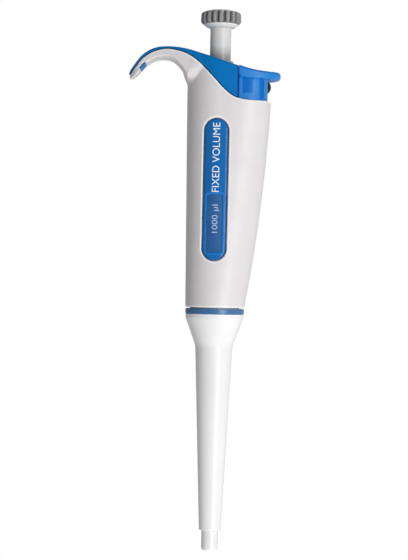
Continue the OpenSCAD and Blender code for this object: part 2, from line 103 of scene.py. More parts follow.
CATCH_Z, CATCH_R = 213.3, 2.9            # eye of the release catch
NOTCH_HALF, NOTCH_Z = 3.35, 203.6        # notch in the rear wall that the catch goes down through
COLLAR_R = 6.0                           # neck of the calibration collar, in the cover
COLLAR_BORE = 4.88                       # bore of the collar, around the plunger tube
ROD_R = 1.97                             # bore of the plunger tube
SLEEVE_BORE = 11.42                      # upper end of the ejector sleeve, and its ring
CYLINDER_R = 5.95                        # bore of the cylinder above the tip cone
NOZZLE_BORE = 1.6
GROOVES = 18                             # grooves around the push button

# Side outlines in X and Z. The hook's lines are a little higher at the crest than in the CAD.
TOP_LINE = [(-42.3, 216.5), (-42.3, 217.4), (-41.6, 219), (-40, 221.2), (-35.6, 226.7), (-30.1, 229.9),
            (-23.7, 230.7), (-16.3, 230), (-8.5, 227.9), (0, 225.3), (9.1, 222.4)]
SPLIT_LINE = [(-41.9, 216.3), (-40.6, 218.6), (-36.4, 224.1), (-32.8, 227), (-29.2, 228.6),
              (-24.6, 229.4), (-20, 228.8), (-16.3, 227.7), (-13, 226), (-9.3, 223.2), (-5.5, 219.4),
              (-1.7, 215.3), (2, 211.4), (5.8, 208.4), (9.5, 207.1), (14, RIM_Z), (26, RIM_Z)]
UNDER_LINE = [(-41.8, 216.1), (-41.2, 216), (-39.9, 216.2), (-38.1, 217.6), (-35.4, 220.5),
              (-32.7, 223.3), (-29.1, 225.2), (-25.4, 225.7), (-21.7, 224.9), (-17.9, 221.5),
              (-15.3, 217.1)]
PAD_LINE = [(6, 218), (8.2, 217.9), (9.4, 216.9), (11.2, 216.4), (14, 216.3), (23, 216.3), (27, 216.7),
            (28, 217.3), (28.2, 218.3), (27.7, 219.3), (26.4, 219.8), (22, 219.9), (17, 220.3), (13, 221.1),
            (8.2, 222.5), (6, 223.2)]


# ---------------------------------------------------------------- distance fields

def smooth_line(points, steps=10):
    """Catmull-Rom curve through the points."""
    p = np.array(points, float)
    p = np.vstack([p[0], p, p[-1]])
    t = np.linspace(0, 1, steps, endpoint=False)[:, None]
    out = []
    for a, b, c, d in zip(p[:-3], p[1:-2], p[2:-1], p[3:]):
        out.append(0.5 * (2 * b + (c - a) * t + (2 * a - 5 * b + 4 * c - d) * t ** 2
                          + (3 * b - a - 3 * c + d) * t ** 3))
    return np.vstack(out + [p[-1:]])


class Outline:
    """Signed distance to a closed outline, negative inside, read off a fine table."""

    def __init__(self, points, low, high, pitch=0.12):
        p = np.array(points, float)
        self.low, self.pitch = np.array(low, float), pitch
        self.count = np.ceil((np.array(high) - self.low) / pitch).astype(int) + 1
        u = self.low[0] + pitch * np.arange(self.count[0])[:, None]
        v = self.low[1] + pitch * np.arange(self.count[1])[None, :]
        near = np.full((self.count[0], self.count[1]), 1e9)
        inside = np.zeros(near.shape, bool)
        for (ax, az), (bx, bz) in zip(p, np.roll(p, -1, axis=0)):
            ex, ez = bx - ax, bz - az
            long = max(ex * ex + ez * ez, 1e-12)
            t = np.clip(((u - ax) * ex + (v - az) * ez) / long, 0, 1)
            near = np.minimum(near, (u - ax - t * ex) ** 2 + (v - az - t * ez) ** 2)
            if az != bz:
                crosses = (az > v) != (bz > v)
                inside ^= crosses & (u < ax + ex * (v - az) / (bz - az))
        self.table = np.sqrt(near) * np.where(inside, -1, 1)

    def __call__(self, u, v):
        a = np.clip((u - self.low[0]) / self.pitch, 0, self.count[0] - 1.001)
        b = np.clip((v - self.low[1]) / self.pitch, 0, self.count[1] - 1.001)
        i, j = a.astype(int), b.astype(int)
        a, b, t = a - i, b - j, self.table
        return ((t[i, j] * (1 - a) + t[i + 1, j] * a) * (1 - b)
                + (t[i, j + 1] * (1 - a) + t[i + 1, j + 1] * a) * b)


def both(a, b, r):
    """Intersection of two fields, with its edge rounded to radius r."""
    corner = np.hypot(np.maximum(a + r, 0), np.maximum(b + r, 0))
    return np.minimum(-r, np.maximum(a, b)) + corner


def either(a, b, r):
    """Union of two fields, with a fillet of radius r."""
    corner = np.hypot(np.maximum(r - a, 0), np.maximum(r - b, 0))
    return np.maximum(r, np.minimum(a, b)) - corner


def cut(a, b, r):
    """Field a with b taken away, with its edge rounded to radius r."""
    return both(a, -b, r)


def slab(v, low, high):
    """Distance to the layer between low and high."""
    return np.maximum(low - v, v - high)


def ease(t):
    t = np.clip(t, 0, 1)
    return t * t * (3 - 2 * t)


def superellipse(x, y, reach, half, power):
    """Distance to the curve |x/reach|^power + |y/half|^power = 1, to first order."""
    a, b = np.abs(x) / reach + 1e-9, np.abs(y) / half + 1e-9
    g = np.maximum((a ** power + b ** power) ** (1 / power), 0.15)
    slope = g ** (1 - power) * np.hypot(a ** (power - 1) / reach, b ** (power - 1) / half)
    return (g - 1) / np.maximum(slope, 0.02)


def rise(z):
    """How far up the handle z is, from 0 at its lower edge to 1 at the rim."""
    return np.clip((z - HANDLE_Z0) / (RIM_Z - HANDLE_Z0), 0, 1)


def front_radius(z):
    return HANDLE_R0 + (HANDLE_R1 - HANDLE_R0) * rise(z)


def rear_reach(z):
    t = rise(z)
    return HANDLE_R0 + (REAR_X - HANDLE_R0) * t * (1.6 - 0.6 * t)


def power_at(x, z):
    """How square the handle's section is: more so to the rear further up."""
    return np.where(x > 0, 2 + rise(z), 2.0)


def body(x, y, z):
    """The handle's lofted section: round below, squarer and deeper to the rear further up."""
    r = front_radius(z)
    return superellipse(x, y, np.where(x > 0, rear_reach(z), r), r, power_at(x, z))


def skin_y(x, z, out=0.0):
    """Y of the handle's near face at x and z, moved outwards by out."""
    r = front_radius(z)
    power = power_at(x, z)
    reach = np.where(x > 0, rear_reach(z), r) + out
    return -(r + out) * (1 - np.minimum(np.abs(x) / reach, 1) ** power) ** (1 / power)


def hook_plan(x, y):
    """Hook seen from above: a round end, then straight sides that spread to the handle."""
    round_x = TIP_X + TIP_W
    spread = (HOOK_W - TIP_W) / (ROOT_X - round_x)
    side = (np.abs(y) - TIP_W - spread * np.clip(x - round_x, 0, None)) / math.hypot(1, spread)
    return np.where(x < round_x, np.hypot(x - round_x, y) - TIP_W, side)


SIDE_LOW, SIDE_HIGH = (-48.0, 190.0), (30.0, 236.0)
below_top = Outline([(-42.3, 180)] + list(smooth_line(TOP_LINE)) + [(40, 213), (40, 180)],
                    SIDE_LOW, SIDE_HIGH)
below_split = Outline([(-60, 180), (-60, 216.3)] + list(smooth_line(SPLIT_LINE)) + [(60, RIM_Z), (60, 180)],
                      SIDE_LOW, SIDE_HIGH)
above_under = Outline([(-60, 216.3)] + list(smooth_line(UNDER_LINE))
                      + [(-14.8, 216.7), (-13.6, 217.4), (-11, 218.6), (-7, 220), (0, 221)]
                      + [(0, 260), (-60, 260)], SIDE_LOW, SIDE_HIGH)
pad_side = Outline(smooth_line(PAD_LINE, 8), (3, 208), (34, 228), 0.1)


def form(x, y, z, inset=0.0):
    """The whole handle with its hook, before it is split into shell and cover."""
    tip = ease((x + 41) / 8)
    hook = both(hook_plan(x, y), above_under(x, z), 0.3 + 0.6 * tip + 2.4 * ease((x + 19) / 6))
    hook = np.maximum(hook, x + 4)
    sides = either(body(x, y, z), hook, 4 - 3.3 * ease((x + 13.5) / 6)) + inset
    return both(sides, below_top(x, z + 0.004 * y * y), 0.3 + 0.8 * tip)


def pole(x, y, r):
    """Upright cylinder about the axis."""
    return np.hypot(x, y) - r


def stadium(x, z):
    """The name plate's outline on the handle's front."""
    r = (plate_high[0] - plate_low[0]) / 2
    mid = (plate_high[0] + plate_low[0]) / 2
    level = np.clip(z, plate_low[2] + r, plate_high[2] - r)
    return np.hypot(x - mid, z - level) - r


def window(x, z, corner=0.6):
    """The rectangular window for the volume label."""
    low, high = label_low - 0.1, label_high + 0.1
    dx = np.abs(x - (low[0] + high[0]) / 2) - (high[0] - low[0]) / 2 + corner
    dz = np.abs(z - (low[2] + high[2]) / 2) - (high[2] - low[2]) / 2 + corner
    return np.hypot(np.maximum(dx, 0), np.maximum(dz, 0)) + np.minimum(np.maximum(dx, dz), 0) - corner


TAB_AT = (-35.0, 221.0)                  # snap tab under the hook's tip
TAB_TURN = math.radians(47)
TAB_SIDE = (-1.3, 9)                     # its lower part reaches out through the hook's sides


def tab(x, y, z, gap, reach=0.0, half=6.2):
    """Block through the hook's underside, square to it, reaching up into the hook."""
    dx, dz = x - TAB_AT[0], z - TAB_AT[1]
    along = dx * math.cos(TAB_TURN) + dz * math.sin(TAB_TURN)
    up = -dx * math.sin(TAB_TURN) + dz * math.cos(TAB_TURN)
    flat = both(np.abs(along) - 1.8 + gap, np.abs(y) - half + gap, 0.4)
    return np.maximum(flat, slab(up, -2.5, 2.5 + reach - gap))


def button_plan(x, y, inset=0.0):
    """Ejector button's box seen from above."""
    return superellipse(x, y, BOX_REACH - inset, BOX_HALF - inset, 3.6)


def shell_field(x, y, z):
    """White handle with its ledge, the ejector button's pocket, the hook's channel, the catch's notch,
    the name plate's bed and the snap tab's slot. gap is its clearance under the cover."""
    gap = 0.2
    solid = both(form(x, y, z), below_split(x, z) + gap, 0.7)
    solid = both(solid, HANDLE_Z0 - z, 0.6)
    inner = np.maximum(body(x, y, z) + WALL, np.maximum(HOLLOW_Z - z, slab(x, HOLLOW_X, 40)))
    nose = np.maximum(pole(x, y, NOSE_R), z - HOLLOW_Z - 1)
    ledge = np.maximum(body(x, y, z) + 1.1, slab(z, *LEDGE_Z))
    ledge = np.maximum(ledge, np.maximum(x + 2, -pole(x, y, LEDGE_R)))
    inner = np.minimum(np.maximum(inner, -ledge), nose)
    pocket = np.maximum(np.maximum(button_plan(x, y, -0.12), COVER_X - 0.1 - x), POCKET_Z - z)
    channel = np.maximum(hook_plan(x, y) + WALL, above_under(x, z) + WALL)
    channel = np.maximum(channel, x - (1 - HANDLE_R1 + WALL))
    inner = np.minimum(inner, np.minimum(pocket, channel))
    solid = cut(solid, inner, 0.35)
    notch = np.maximum(np.maximum(np.abs(y) - NOTCH_HALF, 18 - x), NOTCH_Z - z)
    solid = cut(solid, notch, 0.3)
    bed = np.maximum(np.maximum(stadium(x, z) - 0.1, -body(x, y, z) - BED), y)
    solid = cut(solid, bed, 0.55)
    slot = np.minimum(tab(x, y, z, 0.0), tab(x, y, z, 0.0, *TAB_SIDE))
    return cut(solid, slot, 0.25)


def cover_field(x, y, z):
    """Blue cover with the collar's hole and the snap tab. gap is its clearance over the shell."""
    gap = 0.16
    solid = both(form(x, y, z, 0.18), gap - below_split(x, z), 0.4)
    solid = both(solid, x - COVER_X, 0.2)
    inner = np.maximum(body(x, y, z) + WALL, below_top(x, z) + 1.5)
    inner = np.maximum(inner, slab(x, HOLLOW_X, COVER_X - 1.3))
    solid = cut(solid, inner, 0.2)
    solid = cut(solid, pole(x, y, COLLAR_R + 0.25), 0.45)
    root = np.maximum(tab(x, y, z, 0.12, 1.5), hook_plan(x, y) + WALL + 0.3)
    snap = np.minimum(np.minimum(tab(x, y, z, 0.12), tab(x, y, z, 0.12, *TAB_SIDE)), root)
    return np.minimum(solid, np.maximum(np.maximum(snap, form(x, y, z) + 0.25), below_split(x, z) - 0.6))


def panel(x, z):
    """Recessed field on either side of the ejector button."""
    return np.maximum(slab(x, 10.1, 15.5), slab(z, 209.6, PAD_Z + 0.7))


def side_groove(x, z):
    """Upright groove to the rear of each recessed field."""
    return np.maximum(slab(x, 18.0, 19.9), slab(z, 207.2, PAD_Z + 0.7))


def button_field(x, y, z):
    """Ejector button: a thumb pad on a hollow box with ribs, recesses, screw bosses and the catch's eye.
    lead makes the box narrower at its lower end, where it goes down inside the handle."""
    low_z = button_low[2]
    lead = 1.1 * (1 - ease((z - low_z - 2) / 1.2))
    front = COVER_X + SEAM - x
    sides = both(button_plan(x, y) + lead, front, 0.5)
    box = both(sides, slab(z, low_z, PAD_Z + 1), 0.4)
    hollow = np.maximum(np.maximum(button_plan(x, y, 1.2) + lead, 10.75 - x), z - PAD_Z + 0.1)
    box = cut(box, hollow, 0.3)
    rib = np.maximum(np.maximum(slab(x, 12.5, 13.8), button_plan(x, y, 0.9)), slab(z, 209.3, PAD_Z + 1))
    box = np.minimum(box, rib)
    box = cut(box, np.maximum(panel(x, z), 11.3 - np.abs(y)), 0.3)
    box = cut(box, np.maximum(side_groove(x, z), -button_plan(x, y, 0.45)), 0.3)
    plan = superellipse(x, y, button_high[0], 12.9, 2.8)
    pad = both(both(pad_side(x, z), plan, 0.9), front, 0.2)
    solid = either(box, pad, 0.7)
    for side in (-1, 1):
        place = np.hypot(x - 14.8, y - side * 7)
        boss = np.maximum(place - 2.2, slab(z, low_z, PAD_Z + 1))
        solid = np.maximum(np.minimum(solid, boss), -np.maximum(place - 0.85, z - 206))
    eye = np.maximum(np.hypot(y, z - CATCH_Z) - CATCH_R, 19.5 - x)
    return cut(solid, eye, 0.25)


def plate_field(x, y, z):
    """Name plate: a lens that follows the handle's face, with a pocket for the label."""
    skin = body(x, y, z)
    solid = both(stadium(x, z) + 0.02, skin - 0.15, 1.3)
    solid = np.maximum(both(solid, -skin - BED + 0.06, 0.1), y)
    pocket = np.maximum(window(x, z), -skin - 0.5)
    return cut(solid, pocket, 0.3)


def shell_lip(x, y, z):
    """Thin edges of the white shell that get a painted highlight: its rim, its lower edge and the plate's
    bed.
    """
    rim = np.where(y < 0, np.abs(stadium(x, z) - 0.4), 9)
    near = np.minimum(np.minimum(np.abs(below_split(x, z) + 0.4), z - HANDLE_Z0 - 0.2), rim)
    return 1 - ease((near - 0.2) / 0.45)


def plate_edge_shade(x, y, z):
    """The plate's thick edge, darkened with painted shade."""
    return ease((stadium(x, z) + 0.75) / 0.5)


def plate_frame_highlight(x, y, z):
    """Border around the window, lightened with a painted highlight."""
    outer = window(x, z)
    return ease((outer + 0.15) / 0.2) * (1 - ease((outer - 0.75) / 0.5))


def cover_seam(x, y, z):
    """The cover's rear edge, in the shade of the seam."""
    return ease((x - COVER_X + 0.75) / 0.3)


def pad_top_shade(x, y, z):
    """The upper edge of the ejector button's pad, darkened with painted shade."""
    return ease((pad_side(x, z) + 1.0) / 0.4) * ease((z - 218.6) / 0.6)


def button_recess_shade(x, y, z):
    """Floors of the button's panel and groove, darkened with painted shade."""
    floor = np.minimum(panel(x, z), side_groove(x, z))
    return (1 - ease((floor + 0.35) / 0.3)) * ease((np.abs(y) - 5) / 2)


# ---------------------------------------------------------------- meshes

def net(field, axes, rounds=2):
    """Closed quad mesh where the field is 0, on the grid of the three axes: points, quads and normals."""
    x, y, z = np.meshgrid(*axes, indexing="ij", sparse=True)
    f = np.broadcast_to(field(x, y, z), [len(a) for a in axes])
    inside = f < 0
    corners = [(a, b, c) for a in (0, 1) for b in (0, 1) for c in (0, 1)]
    size = [n - 1 for n in inside.shape]
    crowd = sum(inside[a:a + size[0], b:b + size[1], c:c + size[2]].astype(np.int8) for a, b, c in corners)
    i, j, k = np.nonzero((crowd > 0) & (crowd < 8))
    number = np.full(size, -1)
    number[i, j, k] = np.arange(len(i))
    total, weight = np.zeros((len(i), 3)), np.zeros(len(i))
    for a in corners:
        for axis in range(3):
            if a[axis] == 1:
                continue
            b = tuple(v + (n == axis) for n, v in enumerate(a))
            fa, fb = f[i + a[0], j + a[1], k + a[2]], f[i + b[0], j + b[1], k + b[2]]
            hit = (fa < 0) != (fb < 0)
            t = fa[hit] / (fa[hit] - fb[hit])
            for n, cell in enumerate((i, j, k)):
                pa, pb = axes[n][cell[hit] + a[n]], axes[n][cell[hit] + b[n]]
                total[hit, n] += pa + (pb - pa) * t
            weight[hit] += 1
    points = total / weight[:, None]
    quads = []
    steps = [((0, -1, -1), (0, 0, -1), (0, 0, 0), (0, -1, 0)),
             ((-1, 0, -1), (-1, 0, 0), (0, 0, 0), (0, 0, -1)),
             ((-1, -1, 0), (0, -1, 0), (0, 0, 0), (-1, 0, 0))]
    for axis, around in enumerate(steps):
        low = [slice(1, -1)] * 3
        high = [slice(1, -1)] * 3
        low[axis], high[axis] = slice(0, -1), slice(1, None)
        a, b = inside[tuple(low)], inside[tuple(high)]
        for out in (True, False):
            at = np.nonzero((a & ~b) if out else (b & ~a))
            at = [v + (n != axis) for n, v in enumerate(at)]
            quad = np.stack([number[at[0] + s[0], at[1] + s[1], at[2] + s[2]] for s in around], axis=1)
            quads.append(quad if out else quad[:, ::-1])
    quads = np.vstack(quads)
    pitch = min(np.diff(a).min() for a in axes)
    points = settle(field, points, pitch)
    for _ in range(rounds):
        points = settle(field, relax(points, quads, 0.5), pitch)
    normals = slope_of(field, points)
    return points, quads, normals / np.maximum(np.linalg.norm(normals, axis=1), 1e-9)[:, None]


def slope_of(field, p, h=0.03):
    """The field's gradient at each point."""
    g = np.zeros_like(p)
    for n in range(3):
        step = np.zeros(3)
        step[n] = h
        g[:, n] = (field(*(p + step).T) - field(*(p - step).T)) / (2 * h)
    return g


def settle(field, p, pitch, rounds=3):
    """Moves points along the field's slope onto its surface."""
    for _ in range(rounds):
        g = slope_of(field, p)
        move = g * (field(*p.T) / np.maximum((g * g).sum(1), 0.05))[:, None]
        length = np.linalg.norm(move, axis=1)
        p = p - move * np.minimum(1, 0.5 * pitch / np.maximum(length, 1e-9))[:, None]
    return p


def relax(points, quads, share):
    """Moves each point a share of the way to the mean of its neighbours."""
    total, weight = np.zeros_like(points), np.zeros(len(points))
    for a, b in ((0, 1), (1, 2), (2, 3), (3, 0)):
        for c, d in ((a, b), (b, a)):
            for n in range(3):
                total[:, n] += np.bincount(quads[:, c], points[quads[:, d], n], len(points))
            weight += np.bincount(quads[:, c], minlength=len(points))
    return points + share * (total / weight[:, None] - points)


def add_object(name, data):
    """A new object in the scene."""
    ob = bpy.data.objects.new(name, data)
    bpy.context.scene.collection.objects.link(ob)
    return ob


def add_mesh(name, points, faces, normals=None):
    """A piece from points in millimetres, smooth where it is given normals and flat where it isn't."""
    mesh = bpy.data.meshes.new(name)
    mesh.from_pydata(np.asarray(points) * MM, [], faces)
    if normals is not None:
        mesh.polygons.foreach_set("use_smooth", np.ones(len(mesh.polygons), bool))
        mesh.normals_split_custom_set_from_vertices([tuple(n) for n in normals])
    mesh.update()
    return add_object(name, mesh)


def paint(ob, name, share):
    """Stores share(x, y, z), from 0 to 1, on the piece's points for its material to read."""
    co = np.empty(len(ob.data.vertices) * 3)
    ob.data.vertices.foreach_get("co", co)
    layer = ob.data.attributes.new(name, "FLOAT", "POINT")
    layer.data.foreach_set("value", share(*(co.reshape(-1, 3) / MM).T).astype(np.float32))


def line(low, high, pitch):
    """Even steps of about the pitch, from low to high."""
    return np.linspace(low, high, max(2, int(round((high - low) / pitch)) + 1))


def moulded(name, field, low, high, pitch=FINE, levels=None):
    """A moulded piece from its field, meshed inside a box. levels gives Z its own spacing."""
    low, high = np.array(low) - MARGIN, np.array(high) + MARGIN
    axes = [line(low[n], high[n], pitch) for n in range(3)]
    if levels is not None:
        axes[2] = levels
    points, quads, normals = net(field, axes)
    return add_mesh(name, points, quads.tolist(), normals)


def rounded_profile(corners):
    """Profile of a turned part: (radius, z, rounding) at each corner, in order, as points with normals.
    The outside lies to the right of the way it runs, seen with the radius to the right and Z up."""
    p = np.array([c[:2] for c in corners], float)
    out = []
    for n in range(len(p)):
        if n in (0, len(p) - 1):
            q = p[1] - p[0] if n == 0 else p[-1] - p[-2]
            out.append((p[n], np.array([q[1], -q[0]]) / np.linalg.norm(q)))
            continue
        a, b = p[n] - p[n - 1], p[n + 1] - p[n]
        la, lb = np.linalg.norm(a), np.linalg.norm(b)
        a, b = a / la, b / lb
        turn = math.atan2(a[0] * b[1] - a[1] * b[0], a @ b)
        if abs(turn) < 1e-4:
            continue
        r = min(max(corners[n][2], 0.03), 0.49 * min(la, lb) / math.tan(abs(turn) / 2))
        start = p[n] - a * r * math.tan(abs(turn) / 2)
        side = np.array([-a[1], a[0]]) * math.copysign(1, turn)
        centre = start + side * r
        count = max(2, int(abs(turn) / math.radians(12)) + 1)
        for m in range(count + 1):
            w = turn * m / count
            arm = -side * math.cos(w) + a * math.sin(abs(w))
            out.append((centre + arm * r, arm * math.copysign(1, turn)))
    return np.array([o[0] for o in out]), np.array([o[1] for o in out])


def turned(name, corners, sides=96, flute=None):
    """A lathe around Z. A profile that starts and ends on the axis is a solid, and one that ends where it
    starts, away from the axis, is a tube. flute(angle, radius, z) moves the surface inwards."""
    profile, normal = rounded_profile(corners)
    loop = corners[0][:2] == corners[-1][:2] and corners[0][0] > 0
    if loop:
        profile, normal = profile[:-1], normal[:-1]
    turn = np.arange(sides) * 2 * math.pi / sides
    rows = []
    count = len(profile)
    radius, z = profile[:, 0][:, None], profile[:, 1][:, None]
    depth = flute(turn[None, :], radius, z) if flute else 0 * turn[None, :] * radius
    r = np.maximum(radius - depth * np.maximum(normal[:, 0][:, None], 0), 0)
    zz = z - depth * normal[:, 1][:, None] * 0.6
    points = np.stack([r * np.cos(turn), r * np.sin(turn), zz + 0 * turn], axis=2)
    if flute:
        across = np.roll(points, -1, axis=1) - np.roll(points, 1, axis=1)
        along = np.gradient(points, axis=0)
        normals = np.cross(across, along)
        normals /= np.maximum(np.linalg.norm(normals, axis=2), 1e-9)[:, :, None]
    else:
        normals = np.stack([normal[:, 0][:, None] * np.cos(turn), normal[:, 0][:, None] * np.sin(turn),
                            normal[:, 1][:, None] + 0 * turn], axis=2)
    points, normals = points.reshape(-1, 3), normals.reshape(-1, 3)
    for a in range(count if loop else count - 1):
        for b in range(sides):
            c, d = (a + 1) % count, (b + 1) % sides
            rows.append((a * sides + b, a * sides + d, c * sides + d, c * sides + b))
    if not loop:
        points, normals, rows = close_poles(points, normals, rows, count, sides)
    return add_mesh(name, points, rows, normals)


def close_poles(points, normals, rows, count, sides):
    """Replaces the first and last ring, which lie on the axis, with one point each."""
    last = (count - 1) * sides
    fixed = []
    for row in rows:
        ring = [0 if i < sides else (last if i >= last else i) for i in row]
        fixed.append([i for n, i in enumerate(ring) if i != ring[n - 1]])
    used = sorted({i for row in fixed for i in row})
    where = {i: n for n, i in enumerate(used)}
    normals = normals.copy()
    for pole_at in (0, last):
        normals[pole_at] = (0, 0, math.copysign(1, normals[pole_at][2]))
    return points[used], normals[used], [[where[i] for i in row] for row in fixed]


# ---------------------------------------------------------------- materials

def linear(r, g, b):
    """sRGB 0 to 255 as linear light."""
    out = []
    for v in (r, g, b):
        v = v / 255
        out.append(v / 12.92 if v <= 0.04045 else ((v + 0.055) / 1.055) ** 2.4)
    return (*out, 1.0)


class Finish:
    """A node material around one Principled shader, with sizes in millimetres."""

    def __init__(self, name, **sockets):
        self.material = bpy.data.materials.new(name)
        self.material.use_nodes = True
        self.tree = self.material.node_tree
        self.shader = self.tree.nodes["Principled BSDF"]
        for key, value in sockets.items():
            self.shader.inputs[key.replace("_", " ")].default_value = value
        self.place = self.tree.nodes.new("ShaderNodeTexCoord").outputs["Object"]

    def link(self, a, b):
        self.tree.links.new(a, b)

    def noise(self, size, detail=2.0, stretch=(1, 1, 1)):
        node = self.tree.nodes.new("ShaderNodeTexNoise")
        node.inputs["Scale"].default_value = 1 / (size * MM)
        node.inputs["Detail"].default_value = detail
        node.inputs["Roughness"].default_value = 0.55
        if stretch == (1, 1, 1):
            self.link(self.place, node.inputs["Vector"])
        else:
            mapping = self.tree.nodes.new("ShaderNodeMapping")
            mapping.inputs["Scale"].default_value = stretch
            self.link(self.place, mapping.inputs["Vector"])
            self.link(mapping.outputs["Vector"], node.inputs["Vector"])
        return node.outputs["Fac"]

    def spread(self, value, low, high, start=0.3, end=0.7):
        node = self.tree.nodes.new("ShaderNodeMapRange")
        for key, number in (("From Min", start), ("From Max", end), ("To Min", low), ("To Max", high)):
            node.inputs[key].default_value = number
        self.link(value, node.inputs["Value"])
        return node.outputs["Result"]

    def math(self, kind, a, b=0.0):
        node = self.tree.nodes.new("ShaderNodeMath")
        node.operation = kind
        for n, value in enumerate((a, b)):
            if isinstance(value, (int, float)):
                node.inputs[n].default_value = value
            else:
                self.link(value, node.inputs[n])
        return node.outputs["Value"]

    def mixed(self, share, a, b):
        node = self.tree.nodes.new("ShaderNodeMix")
        node.data_type = "RGBA"
        self.link(share, node.inputs["Factor"])
        for key, value in (("A", a), ("B", b)):
            socket = [s for s in node.inputs if s.name == key and s.type == "RGBA"][0]
            if isinstance(value, tuple):
                socket.default_value = value
            else:
                self.link(value, socket)
        return [s for s in node.outputs if s.type == "RGBA"][0]

    def colour(self, a, b, size, **kind):
        return self.tint(self.mixed(self.spread(self.noise(size, **kind), 0, 1), a, b))

    def tint(self, value):
        self.link(value, self.shader.inputs["Base Color"])
        return value

    def stored(self, name):
        """A share that paint() stored on the piece."""
        node = self.tree.nodes.new("ShaderNodeAttribute")
        node.attribute_name = name
        return node.outputs["Fac"]

    def height(self, low, high):
        """0 below the level low, 1 above the level high."""
        node = self.tree.nodes.new("ShaderNodeSeparateXYZ")
        self.link(self.place, node.inputs[0])
        return self.spread(node.outputs["Z"], 0, 1, low * MM, high * MM)

    def roughness(self, low, high, size, **kind):
        self.link(self.spread(self.noise(size, **kind), low, high), self.shader.inputs["Roughness"])

    def bump(self, height, depth, strength=1.0):
        """depth is in millimetres."""
        node = self.tree.nodes.new("ShaderNodeBump")
        node.inputs["Distance"].default_value = depth * MM
        node.inputs["Strength"].default_value = strength
        self.link(height, node.inputs["Height"])
        self.link(node.outputs["Normal"], self.shader.inputs["Normal"])

    def worn_and_highlit_edges(self, base, bright, amount):
        """Lightens convex edges a little, broken up by noise: partly wear, partly a painted highlight."""
        edge = self.tree.nodes.new("ShaderNodeNewGeometry").outputs["Pointiness"]
        edge = self.spread(edge, 0, amount, 0.52, 0.58)
        share = self.math("MULTIPLY", edge, self.spread(self.noise(2.2, 4), 0.35, 1.0))
        return self.tint(self.mixed(share, base, bright))


def moulded_plastic(name, light, dark, rough, grain=0.005, wear_and_highlight=None, light_and_shade_marks=(), **sockets):
    """Injection-moulded plastic: faint mottling, a fine spark-eroded grain and a slight orange peel.
    Lighter convex edges are partly wear and partly a painted highlight. The marks are painted shade and
    painted highlights; each holds a stored share's name, or two levels in Z, with the tone that comes in
    there."""
    f = Finish(name, **sockets)
    base = f.colour(dark, light, 9.0, detail=3)
    # lighter edges: partly wear, partly a painted highlight
    if wear_and_highlight:
        base = f.worn_and_highlit_edges(base, wear_and_highlight, 0.55)
    # the marks mix in painted shade and painted highlights
    for share, tone in light_and_shade_marks:
        share = f.stored(share) if isinstance(share, str) else f.height(*share)
        base = f.tint(f.mixed(share, base, tone))
    f.roughness(rough - 0.05, rough + 0.06, 3.0, detail=4)
    height = f.math("ADD", f.noise(0.5, 2), f.math("MULTIPLY", f.noise(5.0, 1), 1.5))
    f.bump(height, grain)
    return f.material


def metal(name, light, dark, rough, stretch=(1, 1, 0.05)):
    """Drawn or turned metal, with fine lines along the way it was worked."""
    f = Finish(name, Metallic=1.0)
    f.colour(dark, light, 3.0, detail=4, stretch=stretch)
    f.roughness(rough - 0.06, rough + 0.1, 0.8, detail=4, stretch=stretch)
    f.bump(f.noise(0.4, 3, stretch), 0.004)
    return f.material


def rubber(name, light, dark, rough):
    """Dull moulded rubber with a fine, close grain."""
    f = Finish(name, Specular_IOR_Level=0.4)
    f.colour(dark, light, 1.6, detail=5)
    f.roughness(rough - 0.08, rough + 0.08, 0.8, detail=3)
    f.bump(f.noise(0.18, 3), 0.015)
    return f.material


SHELL_WHITE = moulded_plastic("shell_white", linear(226, 222, 223), linear(222, 218, 219), 0.42,
                              # painted highlight along the shell's thin edges
                              light_and_shade_marks=[("lip", linear(252, 251, 252))],
                              Specular_IOR_Level=0.45, Coat_Weight=0.05, Coat_Roughness=0.25)
SLEEVE_WHITE = moulded_plastic("sleeve_white", linear(242, 241, 242), linear(238, 237, 238), 0.33,
                               # painted highlight along the top of the sleeve's lip
                               light_and_shade_marks=[((107.7, 108.1), linear(250, 251, 252))],
                               Specular_IOR_Level=0.35, Coat_Weight=0.05, Coat_Roughness=0.2)
CONE_WHITE = moulded_plastic("cone_white", linear(240, 239, 238), linear(234, 233, 232), 0.3, grain=0.006)
COVER_BLUE = moulded_plastic("cover_blue", linear(0, 116, 189), linear(0, 112, 184), 0.36,
                             wear_and_highlight=linear(30, 130, 200), light_and_shade_marks=[("seam", linear(0, 78, 156))],
                             Specular_IOR_Level=0.1)
EJECTOR_BLUE = moulded_plastic("ejector_blue", linear(42, 134, 214), linear(34, 128, 208), 0.3,
                               wear_and_highlight=linear(90, 160, 225),
                               light_and_shade_marks=[("panel_shade", linear(0, 110, 198)), ("top", linear(0, 106, 186))],
                               Specular_IOR_Level=0.18)
RING_BLUE = moulded_plastic("ring_blue", linear(66, 118, 168), linear(58, 110, 160), 0.28)
BUTTON_GREY = moulded_plastic("button_grey", linear(158, 157, 158), linear(144, 143, 145), 0.42, grain=0.02,
                              wear_and_highlight=linear(176, 177, 178), light_and_shade_marks=[("groove", linear(66, 65, 68))])
PLUNGER_GREY = moulded_plastic("plunger_grey", linear(224, 223, 219), linear(218, 217, 213), 0.35,
                               grain=0.006,
                               # painted shade darkens the tube towards the cover
                               light_and_shade_marks=[((231.8, 226.2), linear(158, 156, 154)),
                                      # painted light brightens the flange under the push button
                                      ((239.9, 240.6), linear(250, 247, 240))])
COLLAR_GREY = moulded_plastic("collar_grey", linear(160, 162, 164), linear(148, 150, 152), 0.4)
INNER_WHITE = moulded_plastic("inner_white", linear(228, 228, 224), linear(218, 218, 214), 0.45)
SEAL_WHITE = moulded_plastic("seal_white", linear(240, 238, 228), linear(230, 228, 218), 0.3, grain=0.005)
BLACK = rubber("black_rubber", linear(22, 18, 20), linear(12, 10, 12), 0.3)
